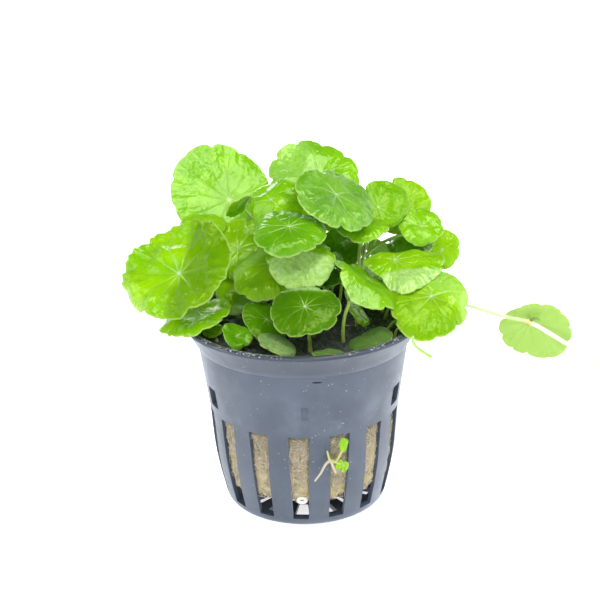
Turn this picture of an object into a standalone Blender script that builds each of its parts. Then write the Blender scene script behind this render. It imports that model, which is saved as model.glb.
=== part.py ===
"""Whorled pennywort rooted in a plug of mineral wool, in a slotted plastic pot.

Metres, +Z up. The origin is the middle of the pot's underside, and the front is -Y.
Directions round the plant are in degrees from the front, positive towards +X.
"""

import bmesh
import bpy
from math import atan2, cos, hypot, pi, radians, sin, sqrt
from mathutils import Matrix, Vector

MM = 0.001
GAP = 0.3

# All sizes below are in millimetres. The pot's wall narrows downwards below a flared collar.
POT_HEIGHT = 45.0
RIM_RADIUS = 27.5
COLLAR_FOOT = (24.6, 39.4)
SHOULDER = (24.27, 39.05)
WALL_MIDDLE = (22.3, 23.9)
WALL_LOW = (21.46, 12.9)
WALL_FOOT = (19.43, 1.9)
BASE_RADIUS = 18.4
WALL = 1.0
BASE_THICKNESS = 1.2
POT_STEPS = 45

# Slots run down the wall, each with another in the base in line with it.
SLOT_COUNT = 15
FIRST_SLOT = -3.9
SLOT_HEIGHTS = (2.0, 23.9)
SLOT_WIDTHS = (3.6, 4.8)
BASE_SLOT_REACH = (9.5, 16.0)
BASE_SLOT_WIDTHS = (2.0, 3.2)
WINDOW_ANGLES = (65, 115, -65, -115)
WINDOW_WIDTH = 4.0
WINDOW_HEIGHTS = (26.0, 30.7)

# Mineral wool fills the pot from just above its base to below its rim.
WOOL_TOP = 41.0
WOOL_BOTTOM = 6.0
WOOL_STEPS = 30

# Every leaf is a round sheet with a scalloped edge, on a slender stalk.
BLADE_THICKNESS = 0.5
NOTCH_DEPTH = 0.09
WAVE_HEIGHT = 0.03
FOLD_SOFTNESS = 0.02
FEW_LOBES_BELOW = 4.5
STALK_RADIUS = 0.6
STALK_POINTS = 6
STALK_FOOT = WOOL_TOP + GAP

# Where the stalk meets the blade, the blade's radius, its tilt and the way it tilts, the turn
# of its lobes, its cup (down if negative), its fold and the fold's direction, how far the
# middle of the blade lies from the stalk, then the stalk's foot, the point that the stalk
# bends towards and the length that it runs straight below the blade.
LEAVES = {
    "rim_front_small": ((5.5, -20, 44), 3.5, 5, 170, 10, -0.1, 0, 0, (0, 0), (5.5, -17), (5, -18, 42), 1),
    "rim_front": ((-6, -19.5, 45.5), 4.5, 20, 80, 20, -0.12, 0, 0, (0, 0), (-6, -17), (-6, -18, 43), 1),
    "rim_right": ((14.5, -14, 44.5), 5, 20, -65, 0, -0.1, 0, 0, (0, 0), (14, -11.5), (15, -10, 43), 1),
    "front": ((0.5, -16, 51.5), 7.5, 30, 0, 15, -0.12, 0, 0, (0, 0), (1.5, -14.5), (1.5, -13.5, 46), 2),
    "rim_left": ((-14.5, -15.5, 45.5), 3.5, 35, 45, 30, 0, 0.3, 60, (0, 0), (-13.5, -11.5), (-13, -13, 43), 1),
    "front_left": ((-9, -10, 48), 6, 35, 40, 0, -0.1, 0, 0, (0, 0), (-9.5, -7), (-8, -7, 44), 4),
    "slender": ((12, -5.5, 47), 4.5, 55, 80, 0, 0, 0.2, 0, (0, 0), (12, -2.5), (13, -2, 44), 1),
    "front_right": ((28.5, -10.5, 52), 9.5, 35, 15, 10, -0.05, 0, 0, (-1, -1), (19, -5), (20, -6, 46), 2),
    "slanted": ((13.5, -4, 53), 9, 30, 90, 0, -0.05, 0.1, 20, (-1, 0), (9, -10), (8, -14, 53), 2),
    "folded": ((21, 3, 56), 9, 20, 5, 0, -0.05, 0.2, 0, (1, -2), (14, 10.5), (17, 12, 47), 6),
    "centre": ((-2.5, -10, 68.5), 8, 20, 5, 0, -0.12, 0, 0, (0, -1), (1.5, 8.5), (6, 8, 68), 6),
    "under_centre": ((-0.5, -4.5, 61), 7.5, 20, 5, 20, -0.12, 0, 0, (0, -3), (2.5, -5.5), (1, -9, 53), 2),
    "mid_left": ((-6.5, 0, 57), 8.5, 30, -20, 10, -0.05, 0, 0, (0, -2), (-6, 2), (-7, 1, 48), 4),
    "curled": ((9, 0, 58.5), 2.5, 45, 60, 0, 0, 0.3, 0, (0, 0), (5.5, 6), (6, 7, 52), 2),
    "under_left": ((-23.5, -6, 48), 8.5, 15, -75, 0, -0.05, 0, 0, (1, -1), (-19.5, -3.5), (-19, 0, 44), 2),
    "left_low": ((-15.5, 3, 49), 5, 40, 5, 0, -0.1, 0, 0, (0, 0), (-15, 6.5), (-16, 8, 44), 6),
    "rim_left_small": ((-20.5, -6, 43.5), 2.5, 20, 10, 0, 0, 0, 0, (0, 0), (-19.5, -7), (-20, -6, 42), 1),
    "big_left": ((-27, -7.5, 57.5), 13, 38, -30, 30, 0.02, 0, 0, (-1.5, 1), (-21, 3), (-22, 6, 51), 6),
    "left_inner": ((-14.5, 7.5, 58), 7, 50, -5, 0, -0.08, 0, 0, (0, 0), (-14.5, 10), (-14, 9, 51), 2),
    "upper_mid": ((8, -1, 73), 9.5, 35, 45, 0, -0.05, 0, 0, (-1, -1), (0, 10.5), (2, 9, 60), 4),
    "low_dark": ((4.5, -2, 53), 3.5, 20, 0, 0, -0.1, 0, 0, (0, 0), (4, 2), (4, 3, 46), 4),
    "inner_dark": ((10, 9, 58), 4, 35, 10, 0, -0.1, 0, 0, (0, 0), (8.5, 9), (10, 9, 51), 2),
    "tucked": ((14, 3, 64), 6.5, 20, 15, 0, -0.1, 0, 0, (0, 0), (13, 5.5), (13, 5, 50), 6),
    "right_dark": ((25.5, 13, 58), 5.5, 10, -10, 0, -0.15, 0, 0, (0, 0), (14, 12.5), (15, 14, 48), 4),
    "curved": ((-6.5, 1.5, 71.5), 6.5, 45, -45, 0, 0, -0.35, 0, (0, 0), (1.5, 15.5), (0, 12, 53), 8),
    "edge_on": ((-14, 7, 68.5), 3.5, 125, 45, 0, 0, 0.1, 0, (0, 0), (-3.5, 19), (-7, 26, 58), 6),
    "upper_right": ((20, 5, 69), 6, 50, 20, 0, -0.05, 0, 0, (0, 0), (12.5, 8), (16, 13, 63), 6),
    "right_upper": ((26.5, 5.5, 63), 5.5, 40, 20, 0, -0.05, 0, 0, (0, 0), (12, 12.5), (10, 15, 59), 4),
    "right_far": ((34, 15.5, 54.5), 5, 65, 20, 0, -0.05, 0, 0, (0, 0), (19, 8), (20, 9, 49), 6),
    "behind_left": ((-23, 9.5, 64), 5.5, 15, 0, 0, -0.1, 0, 0, (0, 0), (-15.5, 14.5), (-14, 16, 55), 6),
    "back_right": ((24, 13, 65.5), 7, 55, 10, 10, -0.03, 0, 0, (0, 1), (12, 16), (10, 17, 56), 2),
    "top": ((4.5, 12, 74), 11, 40, 10, 0, -0.03, 0, 0, (-1, 0), (0.5, 17.5), (4, 18, 61), 4),
    "back_left": ((-17, 20.5, 66.5), 12, 55, 20, 20, 0, 0, 0, (-2, 3), (-9, 14), (-10, 19, 61), 4),
    "back_middle": ((-1, 26, 60), 8, 40, 180, 0, -0.05, 0, 0, (0, 0), (-2, 21), (-6, 20, 56), 6),
    "back_middle_right": ((12, 22, 60), 7.5, 40, 165, 20, -0.05, 0, 0, (0, 0), (5, 18), (8, 24, 56), 2),
    "back_right_low": ((22, 20, 52.5), 6.5, 45, 140, 40, -0.05, 0, 0, (0, 0), (13.5, 14.5), (16, 18, 46), 8),
    "back_left_low": ((-20, 22, 54), 7.5, 45, 205, 60, -0.05, 0, 0, (0, 0), (-12.5, 17), (-14, 22, 49), 6),
    "back_low": ((1, 29, 51), 8, 45, 180, 80, -0.05, 0, 0, (0, 0), (2, 20.5), (0, 22, 45), 6),
    "back_rim_left": ((-11, 24, 49.5), 5.5, 30, 200, 100, -0.05, 0, 0, (0, 0), (-8.5, 19), (-12, 22, 50), 4),
    "back_rim_right": ((12.5, 25, 48.5), 6, 35, 160, 120, -0.05, 0, 0, (0, 0), (7.5, 19), (6, 20, 48), 2),
    "back_top": ((2, 25, 72), 8.5, 45, 180, 140, -0.05, 0, 0, (0, 0), (6, 15), (7, 14, 60), 2),
    "back_high_left": ((-17, 31, 62), 7.5, 45, 190, 160, -0.05, 0, 0, (0, 0), (-7, 15), (-8, 18, 58), 4),
    "back_high_right": ((23, 24, 64.5), 6.5, 45, 155, 180, -0.05, 0, 0, (0, 0), (12, 10.5), (14, 10, 55), 4),
    "side_left": ((-30, 9, 52), 6.5, 45, -90, 200, -0.05, 0, 0, (0, 0), (-19.5, 9), (-19, 15, 48), 6),
    "side_right": ((33, 9, 48.5), 5.5, 45, 90, 220, -0.05, 0, 0, (0, 0), (19.5, 4.5), (20, 5, 48), 2),
    "back_far_left": ((-27, 18, 50), 5.5, 25, -140, 240, -0.05, 0, 0, (0, 0), (-17.5, 11), (-18, 13, 47), 2),
}
RUNNER_LEAF = ((53, 1.5, 41), 8.25, 72, 169, 10, 0, 0, 0, (-1.5, -3), (52.5, 0.4), (52.6, 0.7, 40.9), 0.4)
RUNNER_LEAF_FOOT = 40.9

# The runner climbs over the rim and hangs in the air, and a shoot curls down beside it.
RUNNER_RADIUS = 0.45
RUNNER_ROUTE = [
    (21.5, 0.5, 41.3), (22.8, 0.6, 44.5), (25.6, 0.6, 46.6), (29.5, 0.5, 46.9), (34, 0.3, 46.4),
    (39.6, 0, 45.2), (45.5, -0.4, 43.2), (52.1, -0.7, 41.6), (56.5, -0.5, 39.0), (61.2, -0.2, 35.8),
    (65.6, 0, 32.8), (69.6, 0, 30), (73.5, 0.2, 27.4), (76.5, 0.4, 26.4),
]
SHOOT_RADIUS = 0.35
SHOOT_ROUTE = [
    (20.3, -9.5, 41.3), (20.9, -11, 44.6), (22.6, -14.2, 46.1), (23.7, -16.1, 45.4), (23.9, -16.4, 43.6),
    (24.7, -16.3, 42.3), (26, -16.2, 41.2), (27.2, -16.1, 40.3), (27.9, -16, 39.9),
]

# A small plantlet has grown out of the wool through one slot, and a root's curled end shows
# at the foot of another. Its roots and its side stalk leave the stem at one node.
PLANTLET_STEM = [
    (6.4, -20, 17.6), (6.4, -21.4, 17.9), (5.4, -22.6, 18.5), (6.6, -22.4, 18.2), (8, -22, 20.6),
]
PLANTLET_BRANCHES = [
    [(5.3, -22.6, 18.5), (4.3, -22.8, 17.6), (3.2, -23, 15.6), (1.9, -23.1, 13.8)],
    [(5.5, -22.6, 18.4), (6, -22.5, 16.8), (6.6, -22.2, 15.4)],
    [(5.3, -22.6, 18.4), (4.7, -22.7, 20.9)],
    [(6.2, -22.4, 18.2), (7.2, -22.3, 17.6), (8.3, -21.9, 17)],
]
PLANTLET_LEAVES = [
    ((8.2, -21.9, 20.9), 1.7, 80, 35, 0, -0.1, 0, 0, (0.6, 0.6)),
    ((7.1, -22.3, 17.6), 1.2, 60, 10, 0, 0, 0, 0, (0.2, -0.2)),
    ((8.2, -21.9, 17.1), 1.4, 85, 30, 0, 0, 0, 0, (0.5, -0.9)),
]
ROOT_CURL_ROUTE = [
    (-2.1, -19.7, 7.3), (-1.6, -19.8, 5.9), (-0.9, -19.8, 5.4), (-0.3, -19.8, 5.8), (-0.3, -19.7, 6.5),
]
ROOT_CURL_RADIUS = 0.3

GREENS = {
    "bright": (0.36, 0.62, 0.05),
    "fresh": (0.24, 0.52, 0.05),
    "dull": (0.16, 0.38, 0.09),
}
DULL_LEAVES = ("centre", "curved", "edge_on", "low_dark", "inner_dark", "right_dark", "curled")
BRIGHT_LEAVES = ("back_left", "top", "front_right", "under_left", "back_right", "right_far")


def clear_scene():
    for thing in list(bpy.data.objects):
        bpy.data.objects.remove(thing, do_unlink=True)


def new_collection(name):
    collection = bpy.data.collections.new(name)
    bpy.context.scene.collection.children.link(collection)
    return collection


def surface(name, colour, roughness, metallic=0.0):
    """A plain Principled material, made once for each name."""
    if name in bpy.data.materials:
        return bpy.data.materials[name]
    material = bpy.data.materials.new(name)
    material.use_nodes = True
    shader = material.node_tree.nodes["Principled BSDF"]
    shader.inputs["Base Color"].default_value = (*colour, 1)
    shader.inputs["Roughness"].default_value = roughness
    shader.inputs["Metallic"].default_value = metallic
    return material


def add_object(name, mesh, collection, material=None):
    thing = bpy.data.objects.new(name, mesh)
    collection.objects.link(thing)
    if material:
        mesh.materials.append(material)
    return thing


def as_guide(thing):
    thing.hide_render = True
    thing.display_type = "WIRE"
    return thing


def combine(target, other, operation):
    """Unite or cut target with other through an exact Boolean."""
    modifier = target.modifiers.new(operation.title() + " " + other.name, "BOOLEAN")
    modifier.operation = operation
    modifier.object = other
    modifier.solver = "EXACT"


def turned(name, profile, steps, collection, material):
    """A solid turned about Z from a profile of (radius, height) pairs in millimetres."""
    mesh = bpy.data.meshes.new(name)
    points = [(radius * MM, 0, height * MM) for radius, height in profile]
    mesh.from_pydata(points, [(i, i + 1) for i in range(len(points) - 1)], [])
    thing = add_object(name, mesh, collection, material)
    screw = thing.modifiers.new("Turn", "SCREW")
    screw.steps = steps
    screw.render_steps = steps
    screw.use_merge_vertices = True
    screw.merge_threshold = 0.00001
    screw.use_smooth_shade = True
    return thing


def tapered_block(bm, width_low, width_high, depth, low, high, placing):
    """A block along Z from low to high, narrower at its lower end, put in place by a matrix."""
    made = bmesh.ops.create_cube(bm, size=1)
    for vertex in made["verts"]:
        width = width_high if vertex.co.z > 0 else width_low
        height = high if vertex.co.z > 0 else low
        vertex.co = placing @ (Vector((vertex.co.x * width, vertex.co.y * depth, height)) * MM)


def pot_profile():
    """The pot's section: up its inner side, over the lip and down its outer side."""
    lip_outer = (RIM_RADIUS - 0.5, POT_HEIGHT)
    lip_inner = (RIM_RADIUS - 1.4, POT_HEIGHT)
    rim_edge = (RIM_RADIUS, POT_HEIGHT - 0.8)
    inner = [(radius - WALL, height) for radius, height in (WALL_LOW, WALL_MIDDLE, SHOULDER)]
    floor = [(0, BASE_THICKNESS), (BASE_RADIUS - WALL, BASE_THICKNESS)]
    foot = [(WALL_FOOT[0] - WALL, BASE_THICKNESS + 1)]
    outer = [rim_edge, COLLAR_FOOT, SHOULDER, WALL_MIDDLE, WALL_LOW, WALL_FOOT, (BASE_RADIUS, 0), (0, 0)]
    return floor + foot + inner + [lip_inner, lip_outer] + outer


def pot_openings(collection):
    """Cutters for the slots in the wall and the base, and for the windows above them."""
    bm = bmesh.new()
    for index in range(SLOT_COUNT):
        turn = Matrix.Rotation(radians(FIRST_SLOT + 360 / SLOT_COUNT * index), 4, "Z")
        outwards = turn @ Matrix.Translation((0, -WALL_LOW[0] * MM, 0))
        tapered_block(bm, *SLOT_WIDTHS, 9, *SLOT_HEIGHTS, outwards)
        lying = turn @ Matrix.Rotation(pi / 2, 4, "X")
        tapered_block(bm, *BASE_SLOT_WIDTHS, 6, *BASE_SLOT_REACH, lying)
    for angle in WINDOW_ANGLES:
        outwards = Matrix.Rotation(radians(angle), 4, "Z") @ Matrix.Translation((0, -WALL_MIDDLE[0] * MM, 0))
        tapered_block(bm, WINDOW_WIDTH, WINDOW_WIDTH, 6, *WINDOW_HEIGHTS, outwards)
    mesh = bpy.data.meshes.new("pot_openings")
    bm.to_mesh(mesh)
    bm.free()
    return as_guide(add_object("pot_openings", mesh, collection))


def wool_profile():
    """The wool follows the pot's inner side, a gap inside it."""
    inset = WALL + GAP
    foot_share = (WOOL_BOTTOM - WALL_FOOT[1]) / (WALL_LOW[1] - WALL_FOOT[1])
    foot_radius = WALL_FOOT[0] + foot_share * (WALL_LOW[0] - WALL_FOOT[0]) - inset
    sides = [(radius - inset, height) for radius, height in (SHOULDER, WALL_MIDDLE, WALL_LOW)]
    top_radius = SHOULDER[0] - inset + 0.4
    return [(0, WOOL_TOP), (top_radius, WOOL_TOP)] + sides + [(foot_radius, WOOL_BOTTOM), (0, WOOL_BOTTOM)]


def blade_frame(at, tilt, heading):
    """A matrix from the blade's own plane to the plant, with its upper side along +Z."""
    turn = Matrix.Rotation(radians(heading), 4, "Z") @ Matrix.Rotation(radians(tilt), 4, "X")
    return Matrix.Translation(Vector(at) * MM) @ turn


def blade_point(radius, lobes, turn, cup, fold, fold_way, middle, share, angle):
    """A point of the blade's sheet, share of the way out from the stalk, in millimetres."""
    lobe_angle = angle + radians(turn)
    scallop = NOTCH_DEPTH * (1 - abs(sin(lobes * lobe_angle / 2))) ** 2
    uneven = 1 + 0.04 * sin(2 * lobe_angle) + 0.03 * sin(3 * lobe_angle + 1)
    reach = radius * share * uneven * (1 - scallop * share**3)
    across = share * sin(angle - radians(fold_way))
    bend = fold * (sqrt(across**2 + FOLD_SOFTNESS) - sqrt(FOLD_SOFTNESS))
    wave = WAVE_HEIGHT * share**2 * sin(4 * lobe_angle)
    height = radius * (cup * share**2 + bend + wave)
    return Vector((reach * cos(angle) + middle[0] * share, reach * sin(angle) + middle[1] * share, height))


def blade(name, row, collection, material):
    """The sheet of one leaf: a disc of triangles shaped by blade_point and thickened."""
    at, radius, tilt, heading, turn, cup, fold, fold_way, middle = row[:9]
    lobes = 6 if radius < FEW_LOBES_BELOW else 8
    bm = bmesh.new()
    bmesh.ops.create_circle(bm, cap_ends=True, cap_tris=True, segments=2 * lobes, radius=1)
    frame = blade_frame(at, tilt, heading)
    for vertex in bm.verts:
        share = hypot(vertex.co.x, vertex.co.y)
        angle = atan2(vertex.co.y, vertex.co.x) - radians(turn)
        local = blade_point(radius, lobes, turn, cup, fold, fold_way, middle, share, angle)
        vertex.co = frame @ (local * MM)
    bmesh.ops.recalc_face_normals(bm, faces=bm.faces)
    mesh = bpy.data.meshes.new(name)
    bm.to_mesh(mesh)
    bm.free()
    mesh.shade_smooth()
    thing = add_object(name, mesh, collection, material)
    thicken = thing.modifiers.new("Thicken", "SOLIDIFY")
    thicken.thickness = min(BLADE_THICKNESS, radius / 6) * MM
    thicken.offset = 0
    return thing


def tube(name, route, radius, collection, material=None, ends=(1, 1), sides=0):
    """A round tube along points in millimetres, closed at both ends, as a mesh."""
    curve = bpy.data.curves.new(name + "_line", "CURVE")
    curve.dimensions = "3D"
    curve.bevel_depth = radius * MM
    curve.bevel_resolution = sides
    curve.use_fill_caps = True
    spline = curve.splines.new("POLY")
    spline.points.add(len(route) - 1)
    for point, place in zip(spline.points, route):
        point.co = (*(Vector(place) * MM), 1)
    spline.points[0].radius, spline.points[-1].radius = ends
    line = bpy.data.objects.new(name + "_line", curve)
    collection.objects.link(line)
    bpy.context.view_layer.update()
    graph = bpy.context.evaluated_depsgraph_get()
    mesh = bpy.data.meshes.new_from_object(line.evaluated_get(graph))
    mesh.name = name
    bpy.data.objects.remove(line)
    bm = bmesh.new()
    bm.from_mesh(mesh)
    bmesh.ops.remove_doubles(bm, verts=bm.verts, dist=0.00001)
    bmesh.ops.recalc_face_normals(bm, faces=bm.faces)
    bm.to_mesh(mesh)
    bm.free()
    mesh.shade_smooth()
    return add_object(name, mesh, collection, material)


def stalk_route(row, foot_height):
    """The stalk's centre line: up from its foot, bending, then straight into the blade."""
    at, tilt, heading = Vector(row[0]), row[2], row[3]
    foot, knee, neck = row[9:12]
    upper_side = blade_frame(at, tilt, heading).to_3x3() @ Vector((0, 0, 1))
    start = Vector((*foot, foot_height))
    bend = Vector(knee)
    below = at - upper_side * neck
    route = []
    for step in range(STALK_POINTS):
        t = step / (STALK_POINTS - 1)
        pull = (1 - t) ** 3 * start + 3 * (1 - t) ** 2 * t * bend
        route.append(pull + 3 * (1 - t) * t**2 * below + t**3 * at)
    return route


def leaf(name, row, foot_height, collection, guides, material):
    """One leaf: its blade united with its stalk."""
    sheet = blade(name, row, collection, material)
    radius = STALK_RADIUS if row[1] > FEW_LOBES_BELOW else STALK_RADIUS * 0.75
    stalk = as_guide(tube(name + "_stalk", stalk_route(row, foot_height), radius, guides))
    combine(sheet, stalk, "UNION")


def leaf_material(name):
    tone = "bright" if name in BRIGHT_LEAVES else "dull" if name in DULL_LEAVES else "fresh"
    return surface("leaf_" + tone, GREENS[tone], 0.35)


def slot_plantlet(collection, guides):
    """A stem with its roots, side stalk and three small leaves, all grown together."""
    green = surface("leaf_bright", GREENS["bright"], 0.35)
    stem = tube("slot_plantlet", PLANTLET_STEM, 0.35, collection, green, ends=(1, 0.8))
    for index, route in enumerate(PLANTLET_BRANCHES):
        branch = tube("plantlet_branch_%d" % index, route, 0.25, guides, ends=(1, 0.7))
        combine(stem, as_guide(branch), "UNION")
    for index, row in enumerate(PLANTLET_LEAVES):
        sheet = blade("plantlet_leaf_%d" % index, row, guides, green)
        combine(stem, as_guide(sheet), "UNION")


def build():
    clear_scene()
    plant = new_collection("whorled_pennywort")
    guides = new_collection("guides")

    pot = turned("pot", pot_profile(), POT_STEPS, plant, surface("pot_plastic", (0.16, 0.19, 0.25), 0.4))
    combine(pot, pot_openings(guides), "DIFFERENCE")
    turned("wool_plug", wool_profile(), WOOL_STEPS, plant, surface("wool", (0.5, 0.4, 0.26), 0.95))

    for name, row in LEAVES.items():
        leaf("leaf_" + name, row, STALK_FOOT, plant, guides, leaf_material(name))
    pale = surface("leaf_pale", (0.55, 0.72, 0.25), 0.4)
    leaf("leaf_on_runner", RUNNER_LEAF, RUNNER_LEAF_FOOT, plant, guides, pale)

    stem_green = surface("stem", (0.5, 0.66, 0.25), 0.4)
    tube("runner", RUNNER_ROUTE, RUNNER_RADIUS, plant, stem_green, ends=(1, 0.4), sides=1)
    tube("curled_shoot", SHOOT_ROUTE, SHOOT_RADIUS, plant, stem_green, ends=(1, 1.5), sides=1)
    slot_plantlet(plant, guides)
    white = surface("root_white", (0.8, 0.78, 0.7), 0.6)
    tube("root_curl", ROOT_CURL_ROUTE, ROOT_CURL_RADIUS, plant, white, sides=1)


build()
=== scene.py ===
"""A potted whorled pennywort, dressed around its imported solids.

Sizes are in millimetres until they meet Blender, which takes metres. The front is -Y.
"""

from math import cos, pi, radians, sin

import bmesh
import bpy
import numpy as np
from mathutils import Matrix, Vector


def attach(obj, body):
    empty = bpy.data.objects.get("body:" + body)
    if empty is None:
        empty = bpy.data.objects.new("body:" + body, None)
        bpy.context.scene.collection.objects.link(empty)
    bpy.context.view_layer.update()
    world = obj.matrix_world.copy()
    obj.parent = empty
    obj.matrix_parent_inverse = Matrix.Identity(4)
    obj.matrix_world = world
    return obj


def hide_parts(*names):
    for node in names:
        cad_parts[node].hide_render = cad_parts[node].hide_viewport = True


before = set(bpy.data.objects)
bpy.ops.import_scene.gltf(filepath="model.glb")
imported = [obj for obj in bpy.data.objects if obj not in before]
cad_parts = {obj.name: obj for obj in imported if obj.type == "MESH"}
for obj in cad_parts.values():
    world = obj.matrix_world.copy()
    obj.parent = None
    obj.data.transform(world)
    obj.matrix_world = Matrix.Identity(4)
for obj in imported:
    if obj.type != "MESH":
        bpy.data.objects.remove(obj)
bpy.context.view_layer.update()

# Studio. A white table stands in a white room, and soft lamps above and all round leave
# almost no shadow. The camera looks down on the pot from in front, at angles in radians. The
# lamps and the table are placed and sized in metres.
MM = 0.001
CAMERA_PLACE = (0, -240.76, 134.98)
LOOKS_DOWN = 0.3469
LOOKS_ASIDE = -0.0021
CAMERA_ROLL = -0.0229
LENS = 66.93
SENSOR_WIDTH = 36
LEAVES_MIDDLE = (0, 0, 0.05)
TABLE_REACH = 3
TABLE_DEPTH = -0.0001


def as_object(name, data):
    """A new object in the scene, made of a mesh, a camera or a lamp."""
    thing = bpy.data.objects.new(name, data)
    bpy.context.scene.collection.objects.link(thing)
    return thing


ahead = cos(LOOKS_DOWN)
forward = Vector((sin(LOOKS_ASIDE) * ahead, cos(LOOKS_ASIDE) * ahead, -sin(LOOKS_DOWN)))
level = Vector((cos(LOOKS_ASIDE), -sin(LOOKS_ASIDE), 0))
upward = level.cross(forward)
rightward = cos(CAMERA_ROLL) * level + sin(CAMERA_ROLL) * upward
upward = cos(CAMERA_ROLL) * upward - sin(CAMERA_ROLL) * level
camera_data = bpy.data.cameras.new("camera")
camera_data.lens = LENS
camera_data.sensor_width = SENSOR_WIDTH
camera = as_object("camera", camera_data)
aim = Matrix((rightward, upward, -forward)).transposed().to_4x4()
camera.matrix_world = Matrix.Translation(Vector(CAMERA_PLACE) * MM) @ aim
bpy.context.scene.camera = camera
bpy.context.scene.view_settings.view_transform = "Standard"


def step(tree, kind, inputs, output=0, **settings):
    """Add a shader node, set or link its inputs, and give one of its outputs."""
    made = tree.nodes.new("ShaderNode" + kind)
    for setting, value in settings.items():
        setattr(made, setting, value)
    for socket, value in inputs.items():
        if isinstance(value, bpy.types.NodeSocket):
            tree.links.new(value, made.inputs[socket])
        elif value is not None:
            made.inputs[socket].default_value = value
    return made.outputs[output]


def reckon(tree, operation, first, second=None):
    """The result of a sum on one or two numbers or sockets."""
    return step(tree, "Math", {0: first, 1: second}, operation=operation)


def times(tree, first, second):
    """The product of two numbers or sockets."""
    return reckon(tree, "MULTIPLY", first, second)


def in_mm(tree, where, axis):
    """A place's X, Y or Z, for axis 0, 1 or 2, in millimetres."""
    return times(tree, step(tree, "SeparateXYZ", {0: where}, output=axis), 1000)


def between(tree, value, low, high, start=0.0, end=1.0):
    """Ease from start to end while value goes from low to high."""
    ends = {0: value, 1: low, 2: high, 3: start, 4: end}
    return step(tree, "MapRange", ends, interpolation_type="SMOOTHSTEP")


def tinted(tree, share, first, second):
    """Go from the first colour to the second by a share from 0 to 1."""
    colours = {0: share, 6: first, 7: second}
    for socket in (6, 7):
        if isinstance(colours[socket], tuple):
            colours[socket] = (*colours[socket], 1)
    return step(tree, "Mix", colours, output=2, data_type="RGBA")


def grain(tree, where, size, detail=2.0, roughness=0.5, distortion=0.0):
    """Cloudy noise from 0 to 1 whose patches are about size millimetres across."""
    inputs = {"Vector": where, "Scale": 1000 / size, "Detail": detail}
    inputs.update({"Roughness": roughness, "Distortion": distortion})
    return step(tree, "TexNoise", inputs)


room = bpy.data.worlds.new("white_room")
room.use_nodes = True
tree = room.node_tree
toward = step(tree, "TexCoord", {})
rise = step(tree, "SeparateXYZ", {0: toward}, output=2)
behind = times(tree, step(tree, "SeparateXYZ", {0: toward}, output=1), 0.15)
walls = between(tree, reckon(tree, "SUBTRACT", rise, behind), 0.25, 0.45, 1.2, 0.1)
tree.links.new(walls, tree.nodes["Background"].inputs["Strength"])
tree.nodes["Background"].inputs["Color"].default_value = (1, 1, 1, 1)
bpy.context.scene.world = room


def lamp(name, place, size, watts):
    """A round soft lamp at a place in metres, aimed at the middle of the leaves."""
    light = bpy.data.lights.new(name, "AREA")
    light.shape = "DISK"
    light.size = size
    light.energy = watts
    hung = as_object(name, light)
    hung.location = place
    aim = Vector(LEAVES_MIDDLE) - Vector(place)
    hung.rotation_euler = aim.to_track_quat("-Z", "Y").to_euler()


lamp("lamp_above", (0.19, -0.18, 0.53), 0.4, 3.1)
lamp("lamp_left", (-0.55, -0.15, 0.3), 0.4, 1.2)
lamp("lamp_right", (0.6, 0.1, 0.2), 0.4, 0.8)
lamp("lamp_front", (-0.1, -0.5, 0.52), 0.34, 2.2)
lamp("lamp_behind", (-0.1, 0.6, 0.28), 0.35, 1.5)


def fresh_material(name):
    """An empty material with its node tree, its output and the place on the object."""
    material = bpy.data.materials.new(name)
    material.use_nodes = True
    tree = material.node_tree
    tree.nodes.clear()
    output = tree.nodes.new("ShaderNodeOutputMaterial")
    where = step(tree, "TexCoord", {}, output=3)
    return material, tree, output, where


def finish_with(tree, output, inputs):
    """Give a material one Principled surface with these inputs."""
    tree.links.new(step(tree, "BsdfPrincipled", inputs), output.inputs["Surface"])


corners = [(x * TABLE_REACH, y * TABLE_REACH, TABLE_DEPTH) for x, y in ((-1, -1), (1, -1), (1, 1), (-1, 1))]
table_top = bpy.data.meshes.new("table_top")
table_top.from_pydata(corners, [], [(0, 1, 2, 3)])
table = as_object("table", table_top)
white_top, tree, output, where = fresh_material("white_table")
white = {"Base Color": (0.9, 0.9, 0.9, 1), "Roughness": 0.6, "Emission Color": (1, 1, 1, 1)}
white["Emission Strength"] = 0.75
finish_with(tree, output, white)
table_top.materials.append(white_top)

# Net pot. It is moulded in one shot of blue-grey polypropylene, with a flared collar, slots
# down the wall and in the base, four windows, and a small mould mark in front.
POT_STEPS = 192
POT_FLOOR = [(0, 1.2), (9, 1.2), (17.0, 1.2), (17.9, 1.45), (18.43, 2.2)]
LIP = [(25.95, 44.6), (26.15, 44.93), (26.5, 45), (26.95, 44.95), (27.3, 44.7), (27.5, 44.2)]
COLLAR = [(26.4, 42.6), (25.4, 40.8), (24.72, 39.55), (24.5, 39.2)]
POT_OUTSIDE = [
    (24.27, 39.05), (23.3, 31.5), (22.3, 23.9), (21.9, 18.4), (21.46, 12.9), (20.6, 7.4), (19.43, 1.9),
]
POT_FOOT = [(19.2, 1.0), (18.8, 0.35), (18.3, 0.03), (17.5, 0), (9, 0), (0, 0)]
POT_WALL = 1.0
SLOT_COUNT = 15
SLOT_PITCH = 360 / SLOT_COUNT
FIRST_SLOT = -3.9
# Openings and marks are (width low, width high, low, high, corner radius).
SLOT = (3.6, 4.8, 2.0, 23.9, 0.22)
BASE_SLOT = (2.0, 3.2, 9.5, 16.0, 0.3)
WINDOW = (4, 4, 26, 30.7, 0.25)
WINDOW_ANGLES = (65, 115, -65, -115)
MARK_SLIT = [(1.7, 37.75), (2.7, 37.6), (3.8, 37.72), (3.7, 37.95), (2.7, 38), (1.8, 37.95)]
MARK_RECESS = (1.5, 1.5, 28.6, 31.7, 0.08)
MARK_PAD = (1.5, 1.5, 26.5, 28.5, 0.08)
BEYOND_WALL = -26


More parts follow.
